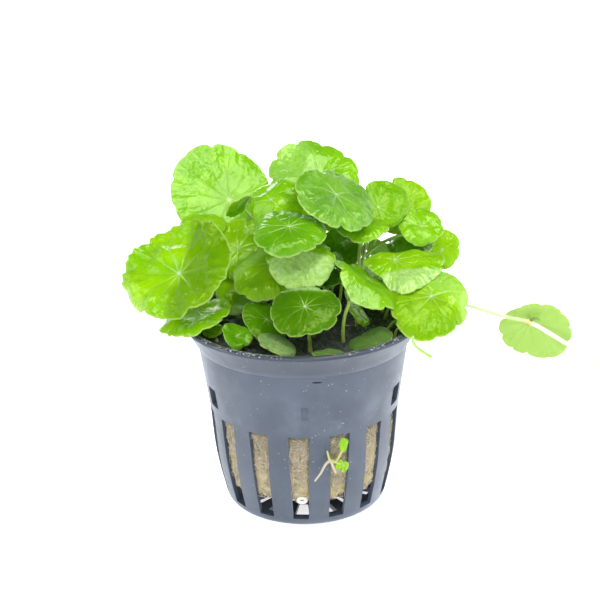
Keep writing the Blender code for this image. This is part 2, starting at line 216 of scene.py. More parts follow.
def softened(points, parts):
    """A smooth line through points, with that many parts between two of them."""
    points = np.array(points, float)
    ends = np.vstack([2 * points[0] - points[1], points, 2 * points[-1] - points[-2]])
    t = (np.arange(parts) / parts)[:, None]
    line = []
    for i in range(1, len(ends) - 2):
        a, b, c, d = ends[i - 1 : i + 3]
        bend = 2 * a - 5 * b + 4 * c - d
        line.append(0.5 * (2 * b + (c - a) * t + bend * t**2 + (3 * b - a - 3 * c + d) * t**3))
    return np.vstack(line + [points[-1:]])


def turned(name, profile, steps):
    """A closed mesh turned about Z. The profile starts and ends on the axis."""
    turns = np.arange(steps) * 2 * pi / steps
    ring = np.array([(r * np.sin(turns), -r * np.cos(turns), z + 0 * turns) for r, z in profile[1:-1]])
    ring = ring.transpose(0, 2, 1).reshape(-1, 3)
    points = np.vstack([[(0, 0, profile[0][1])], ring, [(0, 0, profile[-1][1])]]) * MM
    faces = []
    rows = len(profile) - 2
    for s in range(steps):
        n = (s + 1) % steps
        faces.append((0, 1 + s, 1 + n))
        for r in range(rows - 1):
            low, high = 1 + r * steps, 1 + (r + 1) * steps
            faces.append((low + s, high + s, high + n, low + n))
        last = 1 + (rows - 1) * steps
        faces.append((last + s, len(points) - 1, last + n))
    mesh = bpy.data.meshes.new(name)
    mesh.from_pydata(points.tolist(), [], faces)
    return as_object(name, mesh)


def cutter(name, outline, near, far):
    """A prism along Y from an outline of (x, z) pairs, both ends in the same winding."""
    count = len(outline)
    points = [(x * MM, y * MM, z * MM) for y in (near, far) for x, z in outline]
    faces = [tuple(range(count)), tuple(range(2 * count - 1, count - 1, -1))]
    faces += [(i, i + count, (i + 1) % count + count, (i + 1) % count) for i in range(count)]
    mesh = bpy.data.meshes.new(name)
    mesh.from_pydata(points, [], faces)
    return mesh


def rounded_outline(width_low, width_high, low, high, rounding):
    """A slot's outline as (x, z) pairs: its widths and heights low and high, round corners."""
    corners = [(-width_low / 2, low, 180), (width_low / 2, low, 270)]
    corners += [(width_high / 2, high, 0), (-width_high / 2, high, 90)]
    outline = []
    for x, z, start in corners:
        inner = (x - rounding * np.sign(x), z + rounding * (1 if z == low else -1))
        for turn in (0, 30, 60, 90):
            a = radians(start + turn)
            outline.append((inner[0] + rounding * cos(a), inner[1] + rounding * sin(a)))
    return outline


outside = softened(POT_OUTSIDE, 3)
inside = [(r - POT_WALL, z) for r, z in outside[::-1] if z > 3]
profile = POT_FLOOR + inside + LIP + COLLAR + [tuple(p) for p in outside] + POT_FOOT
pot = turned("net_pot", profile, POT_STEPS)

openings = bmesh.new()
slot = cutter("slot", rounded_outline(*SLOT), BEYOND_WALL, -17)
base_slot = cutter("base_slot", rounded_outline(*BASE_SLOT), -3, 3)
window = cutter("window", rounded_outline(*WINDOW), BEYOND_WALL, -19)
slit = cutter("slit", MARK_SLIT, BEYOND_WALL, -22)
recess = cutter("recess", rounded_outline(*MARK_RECESS), BEYOND_WALL, -22.8)
placed = []
for index in range(SLOT_COUNT):
    turn = Matrix.Rotation(radians(FIRST_SLOT + SLOT_PITCH * index), 4, "Z")
    placed += [(slot, turn), (base_slot, turn @ Matrix.Rotation(pi / 2, 4, "X"))]
placed += [(window, Matrix.Rotation(radians(angle), 4, "Z")) for angle in WINDOW_ANGLES]
for shape, placing in placed:
    before = len(openings.verts)
    openings.from_mesh(shape)
    openings.verts.ensure_lookup_table()
    bmesh.ops.transform(openings, matrix=placing, verts=openings.verts[before:])
openings.from_mesh(slit)
openings.from_mesh(recess)
bmesh.ops.recalc_face_normals(openings, faces=openings.faces)
openings_mesh = bpy.data.meshes.new("openings")
openings.to_mesh(openings_mesh)
openings.free()
openings_cutter = as_object("openings", openings_mesh)
pad = as_object("pad", cutter("pad", rounded_outline(*MARK_PAD), -22.85, -22.0))
for thing, operation in ((openings_cutter, "DIFFERENCE"), (pad, "UNION")):
    cut = pot.modifiers.new(operation.title(), "BOOLEAN")
    cut.operation = operation
    cut.object = thing
    cut.solver = "EXACT"


def set_shape(thing):
    """Apply the object's modifiers to its mesh."""
    bpy.context.view_layer.update()
    graph = bpy.context.evaluated_depsgraph_get()
    mesh = bpy.data.meshes.new_from_object(thing.evaluated_get(graph))
    thing.modifiers.clear()
    thing.data = mesh


set_shape(pot)
bpy.data.objects.remove(openings_cutter)
bpy.data.objects.remove(pad)
pot.data.shade_smooth()
pot.data.set_sharp_from_angle(angle=radians(28))

plastic, tree, output, where = fresh_material("blue_grey_plastic")
height = in_mm(tree, where, 2)
cloud = grain(tree, where, 9, 4, 0.6)
colour = tinted(tree, between(tree, cloud, 0.35, 0.7), (0.042, 0.057, 0.087), (0.058, 0.077, 0.113))
# Pale cloudy patches on the wall between 23 and 37 mm are painted sheen.
painted_sheen_band = times(tree, between(tree, height, 23, 26), between(tree, height, 37, 29))
painted_sheen_band = times(tree, painted_sheen_band, between(tree, grain(tree, where, 7, 3), 0.4, 0.75, 0, 0.2))
colour = tinted(tree, painted_sheen_band, colour, (0.24, 0.28, 0.36))
scuffs = between(tree, grain(tree, where, 2.6, 6, 0.75, 1.5), 0.57, 0.7, 0, 0.45)
colour = tinted(tree, scuffs, colour, (0.055, 0.07, 0.1))
# The collar and lip are darker above 40 mm: painted shade.
colour = tinted(tree, between(tree, height, 39.6, 40.2, 0, 0.8), colour, (0.03, 0.042, 0.065))
chalk = between(tree, grain(tree, where, 0.55, 1), 0.75, 0.78, 0, 0.5)
colour = tinted(tree, chalk, colour, (0.6, 0.63, 0.68))
# The inner wall from 38 mm up to the lip and the inner half of the lip's top are painted near black: painted
# shade.
across = step(tree, "VectorMath", {0: where, 1: (1, 1, 0)}, operation="MULTIPLY")
out = times(tree, step(tree, "VectorMath", {0: across}, output=1, operation="LENGTH"), 1000)
flare = times(tree, reckon(tree, "SUBTRACT", height, 39), 0.47)
painted_inner_shade = between(tree, reckon(tree, "SUBTRACT", out, flare), 24.0, 23.6)
painted_inner_shade = times(tree, painted_inner_shade, between(tree, height, 38, 40))
lip_top = times(tree, between(tree, height, 44.6, 44.8), between(tree, out, 27.35, 27.1))
colour = tinted(tree, reckon(tree, "MAXIMUM", painted_inner_shade, lip_top), colour, (0.014, 0.019, 0.018))
# White specks along the top of the lip are painted glints.
painted_glints = between(tree, grain(tree, where, 0.45, 3), 0.52, 0.62)
painted_glints = times(tree, between(tree, height, 44.5, 44.75), painted_glints)
painted_glints = times(tree, painted_glints, between(tree, grain(tree, where, 6, 2), 0.4, 0.6))
colour = tinted(tree, times(tree, painted_glints, 0.7), colour, (0.62, 0.68, 0.7))
finish = between(tree, grain(tree, where, 3, 4), 0.3, 0.7, 0.34, 0.46)
pores = grain(tree, where, 0.4, 3, 0.6)
relief = step(tree, "Bump", {"Strength": 0.25, "Distance": 0.0001, "Height": pores})
shader = {"Base Color": colour, "Roughness": finish, "Normal": relief, "Specular IOR Level": 0.5}
shader.update({"Sheen Weight": 0.4, "Sheen Roughness": 0.35, "Sheen Tint": (0.7, 0.8, 1, 1)})
finish_with(tree, output, shader)
pot.data.materials.clear()
pot.data.materials.append(plastic)
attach(pot, "root")
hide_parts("pot")

# Mineral wool. A plug of pressed stone fibres fills the pot from near its base to below its
# rim. It is beige at the sides, frayed at its lower edge, and black and wet on top.
WOOL_TOP = 41.0
WOOL_FOOT = 5.9
WOOL_COLUMNS = 264
WOOL_INSET = 1.3
WET_REACH = 23.1
WET_ROWS = 35
SIDE_ROWS = 64
STRANDS = 1500
FRAYED_STRANDS = 260

chance = np.random.default_rng(7)


def lumps(points, size, count=14):
    """Smooth random heights, about -1 to 1, with lumps of that size at the given points."""
    waves = chance.normal(size=(count, points.shape[-1]))
    waves *= (2 * pi / size) * chance.uniform(0.6, 1.3, (count, 1)) / np.linalg.norm(waves, axis=1)[:, None]
    starts = chance.uniform(0, 2 * pi, count)
    return np.cos(points @ waves.T + starts).sum(-1) / np.sqrt(count)


def sheet_faces(rows, columns):
    """The four-sided faces of a grid of points whose rows close into rings."""
    r = np.arange(rows - 1)[:, None]
    s = np.arange(columns)[None, :]
    n = (s + 1) % columns
    corners = [r * columns + s, (r + 1) * columns + s, (r + 1) * columns + n, r * columns + n]
    return np.stack(corners, -1).reshape(-1, 4)


def assemble(name, parts, materials):
    """One object from parts, each its points in millimetres, its groups of faces, as
    (faces, material number, map places or None), and the darkness and sheen of its points, if it has any."""
    points, loops, sizes, slots, maps, darkness_and_sheen_lists, count = [], [], [], [], [], [], 0
    for places, groups, *point_darkness_and_sheen in parts:
        points.append(places)
        darkness_and_sheen_lists.append(point_darkness_and_sheen[0] if point_darkness_and_sheen else np.zeros(len(places)))
        for faces, slot, places_on_map in groups:
            loops.append((faces + count).ravel())
            sizes.append(np.full(len(faces), faces.shape[1]))
            slots.append(np.full(len(faces), slot))
            unmapped = places_on_map is None
            maps.append(np.zeros((faces.size, 2)) if unmapped else places_on_map.reshape(-1, 2))
        count += len(places)
    points, loops, sizes = np.vstack(points), np.concatenate(loops), np.concatenate(sizes)
    mesh = bpy.data.meshes.new(name)
    mesh.vertices.add(len(points))
    mesh.vertices.foreach_set("co", (points * MM).ravel())
    mesh.loops.add(len(loops))
    mesh.loops.foreach_set("vertex_index", loops)
    mesh.polygons.add(len(sizes))
    mesh.polygons.foreach_set("loop_start", np.concatenate([[0], np.cumsum(sizes)[:-1]]))
    mesh.polygons.foreach_set("material_index", np.concatenate(slots))
    mesh.update(calc_edges=True)
    mesh.uv_layers.new(name="growth").data.foreach_set("uv", np.vstack(maps).ravel())
    mesh.attributes.new("darkness_and_sheen", "FLOAT", "POINT").data.foreach_set("value", np.concatenate(darkness_and_sheen_lists))
    mesh.shade_smooth()
    for material in materials:
        mesh.materials.append(material)
    return as_object(name, mesh)


def round_line(route, radii, sides, slot=0):
    """A round strand along a route, closed at both ends, as a part for assemble."""
    route = np.array(route, float)
    radii = np.broadcast_to(radii, len(route))
    along = np.gradient(route, axis=0)
    along /= np.linalg.norm(along, axis=1)[:, None]
    side = np.cross(along[0], (0.31, 0.59, 0.74))
    rings = []
    for place, way, radius in zip(route, along, radii):
        side = side - way * (side @ way)
        side /= np.linalg.norm(side)
        turns = np.arange(sides) * 2 * pi / sides
        ring = np.outer(np.cos(turns), side) + np.outer(np.sin(turns), np.cross(way, side))
        rings.append(place + ring * radius)
    tips = [route[0] - along[0] * radii[0] * 0.6, route[-1] + along[-1] * radii[-1] * 0.6]
    points = np.vstack(rings + [tips[0][None], tips[1][None]])
    walls = sheet_faces(len(route), sides)[:, ::-1]
    s = np.arange(sides)
    n = (s + 1) % sides
    last, end = (len(route) - 1) * sides, len(points) - 2
    caps = [np.stack([n, s, 0 * s + end], -1), np.stack([last + s, last + n, 0 * s + end + 1], -1)]
    return points, [(walls, slot, None), (np.vstack(caps), slot, None)]


def wool_radius(height):
    """How far out the wool reaches at a height."""
    radii, heights = zip(*POT_OUTSIDE[::-1], (25.5, 45))
    return np.interp(height, heights, radii) - WOOL_INSET


turns = np.arange(WOOL_COLUMNS) * 2 * pi / WOOL_COLUMNS
way_out = np.stack([np.sin(turns), -np.cos(turns)], -1)
frayed = WOOL_FOOT + 0.9 * np.cos(turns)
frayed = frayed + 0.35 * lumps(way_out * 20, 3.5) + 0.3 * lumps(way_out * 20, 0.9)
share = (np.linspace(0, 1, SIDE_ROWS) ** 0.9)[:, None]
heights = WOOL_TOP - 0.3 + (frayed[None] - WOOL_TOP + 0.3) * share
radii = wool_radius(heights)
places = np.stack([radii * way_out[:, 0], radii * way_out[:, 1], heights], -1)
from_slot = np.degrees(turns) - FIRST_SLOT + SLOT_PITCH / 2
from_slot = np.abs(from_slot % SLOT_PITCH - SLOT_PITCH / 2)
swollen = np.clip((7.4 - from_slot) / 2.2, 0, 1) * np.clip((24.5 - heights) / 1.5, 0, 1)
puff = 0.17 * lumps(places, 3.2) + 0.09 * lumps(places, 0.9, 30)
puff = np.clip(puff - 0.12, -1, 0.2) + 0.6 * swollen - 0.3 * np.clip(share - 0.97, 0, 1) * 30
places[..., :2] += puff[..., None] * way_out
under = []
for inward, rise in ((0.8, 0.5), (2.5, 1.2), (7, 1.6), (13, 1.5), (19, 1.5)):
    ring = np.concatenate([way_out * (wool_radius(6) - inward), (frayed + rise)[:, None]], 1)
    under.append(ring)
wet = []
for reach in np.linspace(1, 0.02, WET_ROWS + 1)[1:]:
    ring = np.concatenate([way_out * reach * WET_REACH, 0 * turns[:, None] + WOOL_TOP], 1)
    ring[:, 2] += 0.12 + 0.35 * (1 - reach**6)
    wet.append(ring)
wet = np.array(wet[::-1])
wet[..., 2] += 0.4 * lumps(wet, 4.5) + 0.18 * lumps(wet, 1.3, 24)
grid = np.vstack([wet.reshape(-1, 3), places.reshape(-1, 3), np.array(under).reshape(-1, 3)])
faces = sheet_faces(WET_ROWS + SIDE_ROWS + len(under), WOOL_COLUMNS)
row = np.arange(len(faces)) // WOOL_COLUMNS
s = np.arange(WOOL_COLUMNS)
n = (s + 1) % WOOL_COLUMNS
top_middle, under_middle = len(grid), len(grid) + 1
last = len(grid) - WOOL_COLUMNS
grid = np.vstack([grid, [(0, 0, WOOL_TOP + 0.3)], [(0, 0, 7.4)]])
cap = np.stack([s, n, 0 * s + top_middle], -1)
foot = np.stack([last + n, last + s, 0 * s + under_middle], -1)
on_top = row <= WET_ROWS
beneath = row >= WET_ROWS + SIDE_ROWS - 2
groups = [(faces[on_top], 1, None), (faces[~on_top & ~beneath], 0, None)]
groups += [(faces[beneath], 2, None), (cap, 1, None), (foot, 2, None)]

fibre, tree, output, where = fresh_material("mineral_wool")
height = in_mm(tree, where, 2)
sideways = in_mm(tree, where, 0)
colour = tinted(tree, between(tree, height, 22, 9), (0.36, 0.31, 0.22), (0.7, 0.6, 0.4))
blotch = between(tree, grain(tree, where, 3.5, 5, 0.7, 0.5), 0.4, 0.62)
colour = tinted(tree, times(tree, blotch, 0.75), colour, (0.27, 0.235, 0.17))
felt = between(tree, grain(tree, where, 0.5, 5, 0.7, 2.5), 0.35, 0.68)
colour = tinted(tree, times(tree, felt, 0.6), colour, (0.3, 0.24, 0.15))
pale = between(tree, grain(tree, where, 0.45, 4, 0.7, 5), 0.5, 0.66, 0, 0.75)
colour = tinted(tree, pale, colour, (0.86, 0.8, 0.64))
umber = between(tree, grain(tree, where, 1.6, 5, 0.7, 1), 0.5, 0.66, 0, 0.6)
colour = tinted(tree, umber, colour, (0.2, 0.15, 0.08))
ochre = between(tree, grain(tree, where, 2, 4), 0.45, 0.65)
ochre = times(tree, ochre, between(tree, height, 20, 9, 0, 0.65))
colour = tinted(tree, ochre, colour, (0.62, 0.5, 0.2))
mossy = between(tree, grain(tree, where, 4.5, 4, 0.6, 1), 0.5, 0.66, 0, 0.3)
colour = tinted(tree, mossy, colour, (0.34, 0.36, 0.13))
rust = between(tree, grain(tree, where, 2.6, 3), 0.62, 0.74, 0, 0.5)
colour = tinted(tree, rust, colour, (0.42, 0.23, 0.08))
green = times(tree, between(tree, sideways, 15.5, 18.5), between(tree, height, 7, 14))
green = times(tree, green, between(tree, grain(tree, where, 2.2, 4), 0.35, 0.6))
colour = tinted(tree, times(tree, green, 0.85), colour, (0.09, 0.15, 0.05))
soaked = between(tree, height, 25, 38, 0, 0.97)
colour = tinted(tree, soaked, colour, (0.02, 0.022, 0.015))
colour = tinted(tree, 0.08, colour, (0, 0, 0))
relief = step(tree, "Bump", {"Strength": 0.7, "Distance": 0.0003, "Height": felt})
shader = {"Base Color": colour, "Roughness": 0.95, "Normal": relief, "Specular IOR Level": 0.2}
finish_with(tree, output, shader)

wet_top, tree, output, where = fresh_material("wet_wool")
mat_fibres = grain(tree, where, 0.45, 6, 0.75, 3)
colour = tinted(tree, between(tree, mat_fibres, 0.46, 0.74), (0.009, 0.012, 0.012), (0.2, 0.23, 0.2))
slime = between(tree, grain(tree, where, 3.5, 3), 0.5, 0.75, 0, 0.6)
colour = tinted(tree, slime, colour, (0.02, 0.04, 0.012))
shine = between(tree, grain(tree, where, 1.1, 4, 0.7), 0.42, 0.58, 0.12, 0.6)
relief = step(tree, "Bump", {"Strength": 0.9, "Distance": 0.0004, "Height": mat_fibres})
finish_with(tree, output, {"Base Color": colour, "Roughness": shine, "Normal": relief})

# The underside of the plug and its lowest frayed edge are painted near black: painted shade.
shaded, tree, output, where = fresh_material("painted_shade_wool")
colour = tinted(tree, grain(tree, where, 1.2, 4), (0.008, 0.01, 0.008), (0.05, 0.06, 0.045))
finish_with(tree, output, {"Base Color": colour, "Roughness": 0.9})

wool = assemble("mineral_wool_plug", [(grid, groups)], [fibre, wet_top, shaded])
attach(wool, "root")
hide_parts("wool_plug")

straw, tree, output, where = fresh_material("loose_fibres")
height = in_mm(tree, where, 2)
colour = tinted(tree, grain(tree, where, 1.5, 2), (0.3, 0.24, 0.15), (0.9, 0.85, 0.7))
colour = tinted(tree, between(tree, height, 26, 34, 0, 0.95), colour, (0.03, 0.035, 0.025))
finish_with(tree, output, {"Base Color": colour, "Roughness": 0.6})
strands = []


def add_strand(out, around, rise, radius):
    """Lay a loose fibre by its distances from the axis, its turns about it and its heights."""
    route = np.stack([out * np.sin(around), -out * np.cos(around), rise], -1)
    strands.append(round_line(route, radius, 3))


for index in range(STRANDS):
    turn = radians(FIRST_SLOT + SLOT_PITCH * (index % SLOT_COUNT)) + chance.uniform(-0.1, 0.1)
    start = chance.uniform(6.3, 23.5)
    slant = chance.uniform(0, 2 * pi)
    reach = chance.uniform(0.5, 1.6)
    t = np.linspace(-1, 1, 6)
    sway = chance.uniform(-0.4, 0.4)
    rise = start + reach * (np.sin(slant) * t + sway * np.cos(slant) * t**2)
    around = turn + reach * (np.cos(slant) * t - sway * np.sin(slant) * t**2) / 20.5
    rise = np.clip(rise, 6 + 0.9 * np.cos(turn), 23.8)
    out = wool_radius(rise) + chance.uniform(0.4, 0.75) - 0.2 * np.abs(t) ** 3
    add_strand(out, around, rise, chance.uniform(0.03, 0.075))
for _ in range(FRAYED_STRANDS):
    turn = chance.uniform(0, 2 * pi)
    start = np.interp(turn % (2 * pi), turns, frayed)
    t = np.linspace(0, 1, 4)
    rise = start + 0.3 - t * chance.uniform(0.4, 1.1)
    around = turn + t * chance.uniform(-0.04, 0.04)
    out = wool_radius(rise) - 0.15 - t * chance.uniform(0, 0.3)
    add_strand(out, around, rise, 0.05 - 0.03 * t)
fuzz = assemble("wool_fuzz", strands, [straw])
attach(fuzz, "root")

# Leaves. Each is a round scalloped blade held at its middle on a slender stalk, soft, thin
# and glossy, with pale veins that spread from the middle and fork on their way to the edge.
BLADE_THICKNESS = 0.36
STALK_START = 40.6
STALK_FOOT = 41.3
STALK_END_DEPTH = 0.42
# Veins fork twice: where each fork starts and ends, as shares of the radius, and how wide.
VEIN_FORKS = ((0.3, 1.05, 0.23), (0.6, 1.1, 0.11))
VEIN_WIDTH = 0.028
USUAL_LOBES = 8
TONES = {
    "lime": ((0.2, 0.48, 0.002), (0.35, 0.65, 0.005), (0.47, 0.74, 0.008)),
    "fresh": ((0.16, 0.43, 0.002), (0.28, 0.6, 0.004), (0.38, 0.7, 0.008)),
    "green": ((0.09, 0.3, 0.002), (0.18, 0.46, 0.003), (0.28, 0.6, 0.006)),
    "dull": ((0.03, 0.1, 0.004), (0.065, 0.18, 0.01), (0.2, 0.42, 0.01)),
    "deep": ((0.065, 0.21, 0.002), (0.13, 0.34, 0.003), (0.24, 0.52, 0.006)),
}
# The tone, then the row of numbers: where the stalk meets the blade, the radius, the tilt and
# the way it tilts, the turn of the lobes and the cup, then the stalk's foot, the point it bends
# towards, and its straight length below the blade. Angles are in degrees.
LEAVES = {
    "rim_front_small": ("dull", (5.5, -20, 44), 3.5, 5, 170, 10, -0.1, (5.5, -17), (5, -18, 42), 1),
    "rim_front": ("dull", (-6, -19.5, 45.5), 4.5, 20, 80, 20, -0.12, (-6, -17), (-6, -18, 43), 1),
    "rim_right": ("dull", (14.5, -14, 44.5), 5, 20, -65, 0, -0.1, (14, -11.5), (15, -10, 43), 1),
    "front": ("deep", (0.5, -16, 51.5), 7.5, 30, 0, 15, -0.12, (1.5, -14.5), (1.5, -13.5, 46), 2),
    "rim_left": ("green", (-14.5, -15.5, 45.5), 3.5, 35, 45, 30, 0, (-13.5, -11.5), (-13, -13, 43), 1),
    "front_left": ("green", (-9, -10, 48), 6, 35, 40, 0, -0.1, (-9.5, -7), (-8, -7, 44), 4),
    "slender": ("lime", (12, -5.5, 47), 4.5, 55, 80, 0, 0, (12, -2.5), (13, -2, 44), 1),
    "front_right": ("lime", (28.5, -10.5, 52), 9.5, 35, 15, 10, -0.05, (19, -5), (20, -6, 46), 2),
    "slanted": ("fresh", (13.5, -4, 53), 9, 30, 90, 0, -0.05, (9, -10), (8, -14, 53), 2),
    "folded": ("lime", (21, 3, 56), 9, 20, 5, 0, -0.05, (14, 10.5), (17, 12, 47), 6),
    "centre": ("green", (-2.5, -10, 68.5), 8, 20, 5, 0, -0.12, (1.5, 8.5), (6, 8, 68), 6),
    "under_centre": ("lime", (-0.5, -4.5, 61), 7.5, 20, 5, 20, -0.12, (2.5, -5.5), (1, -9, 53), 2),
    "mid_left": ("lime", (-6.5, 0, 57), 8.5, 30, -20, 10, -0.05, (-6, 2), (-7, 1, 48), 4),
    "curled": ("deep", (9, 0, 58.5), 2.5, 45, 60, 0, 0, (5.5, 6), (6, 7, 52), 2),
    "under_left": ("lime", (-23.5, -6, 48), 8.5, 15, -75, 0, -0.05, (-19.5, -3.5), (-19, 0, 44), 2),
    "left_low": ("lime", (-15.5, 3, 49), 5, 40, 5, 0, -0.1, (-15, 6.5), (-16, 8, 44), 6),
    "rim_left_small": ("lime", (-20.5, -6, 43.5), 2.5, 20, 10, 0, 0, (-19.5, -7), (-20, -6, 42), 1),
    "big_left": ("lime", (-27, -7.5, 57.5), 13, 38, -30, 30, 0.02, (-21, 3), (-22, 6, 51), 6),
    "left_inner": ("lime", (-14.5, 7.5, 58), 7, 50, -5, 0, -0.08, (-14.5, 10), (-14, 9, 51), 2),
    "upper_mid": ("green", (8, -1, 73), 9.5, 35, 45, 0, -0.05, (0, 10.5), (2, 9, 60), 4),
    "low_dark": ("deep", (4.5, -2, 53), 3.5, 20, 0, 0, -0.1, (4, 2), (4, 3, 46), 4),
    "inner_dark": ("deep", (10, 9, 58), 4, 35, 10, 0, -0.1, (8.5, 9), (10, 9, 51), 2),
    "tucked": ("fresh", (14, 3, 64), 6.5, 20, 15, 0, -0.1, (13, 5.5), (13, 5, 50), 6),
    "right_dark": ("deep", (25.5, 13, 58), 5.5, 10, -10, 0, -0.15, (14, 12.5), (15, 14, 48), 4),
    "curved": ("fresh", (-6.5, 1.5, 71.5), 6.5, 45, -45, 0, 0, (1.5, 15.5), (0, 12, 53), 8),
    "edge_on": ("fresh", (-14, 7, 68.5), 3.5, 125, 45, 0, 0, (-3.5, 19), (-7, 26, 58), 6),
    "upper_right": ("fresh", (20, 5, 69), 6, 50, 20, 0, -0.05, (12.5, 8), (16, 13, 63), 6),
    "right_upper": ("fresh", (26.5, 5.5, 63), 5.5, 40, 20, 0, -0.05, (12, 12.5), (10, 15, 59), 4),
    "right_far": ("lime", (34, 15.5, 54.5), 5, 65, 20, 0, -0.05, (19, 8), (20, 9, 49), 6),
    "behind_left": ("lime", (-23, 9.5, 64), 5.5, 15, 0, 0, -0.1, (-15.5, 14.5), (-14, 16, 55), 6),
    "back_right": ("lime", (24, 13, 65.5), 7, 55, 10, 10, -0.03, (12, 16), (10, 17, 56), 2),
    "top": ("fresh", (4.5, 12, 74), 11, 40, 10, 0, -0.03, (0.5, 17.5), (4, 18, 61), 4),
    "back_left": ("fresh", (-17, 20.5, 66.5), 12, 55, 20, 20, 0, (-9, 14), (-10, 19, 61), 4),
    "back_middle": ("fresh", (-1, 26, 60), 8, 40, 180, 0, -0.05, (-2, 21), (-6, 20, 56), 6),
    "back_middle_right": ("fresh", (12, 22, 60), 7.5, 40, 165, 20, -0.05, (5, 18), (8, 24, 56), 2),
    "back_right_low": ("fresh", (22, 20, 52.5), 6.5, 45, 140, 40, -0.05, (13.5, 14.5), (16, 18, 46), 8),
    "back_left_low": ("fresh", (-20, 22, 54), 7.5, 45, 205, 60, -0.05, (-12.5, 17), (-14, 22, 49), 6),
    "back_low": ("deep", (1, 29, 51), 8, 45, 180, 80, -0.05, (2, 20.5), (0, 22, 45), 6),
    "back_rim_left": ("deep", (-11, 24, 49.5), 5.5, 30, 200, 100, -0.05, (-8.5, 19), (-12, 22, 50), 4),
    "back_rim_right": ("deep", (12.5, 25, 48.5), 6, 35, 160, 120, -0.05, (7.5, 19), (6, 20, 48), 2),
    "back_top": ("fresh", (2, 25, 72), 8.5, 45, 180, 140, -0.05, (6, 15), (7, 14, 60), 2),
    "back_high_left": ("fresh", (-17, 31, 62), 7.5, 45, 190, 160, -0.05, (-7, 15), (-8, 18, 58), 4),
    "back_high_right": ("fresh", (23, 24, 64.5), 6.5, 45, 155, 180, -0.05, (12, 10.5), (14, 10, 55), 4),
    "side_left": ("fresh", (-30, 9, 52), 6.5, 45, -90, 200, -0.05, (-19.5, 9), (-19, 15, 48), 6),
    "side_right": ("fresh", (33, 9, 48.5), 5.5, 45, 90, 220, -0.05, (19.5, 4.5), (20, 5, 48), 2),
    "back_far_left": ("fresh", (-27, 18, 50), 5.5, 25, -140, 240, -0.05, (-17.5, 11), (-18, 13, 47), 2),
}
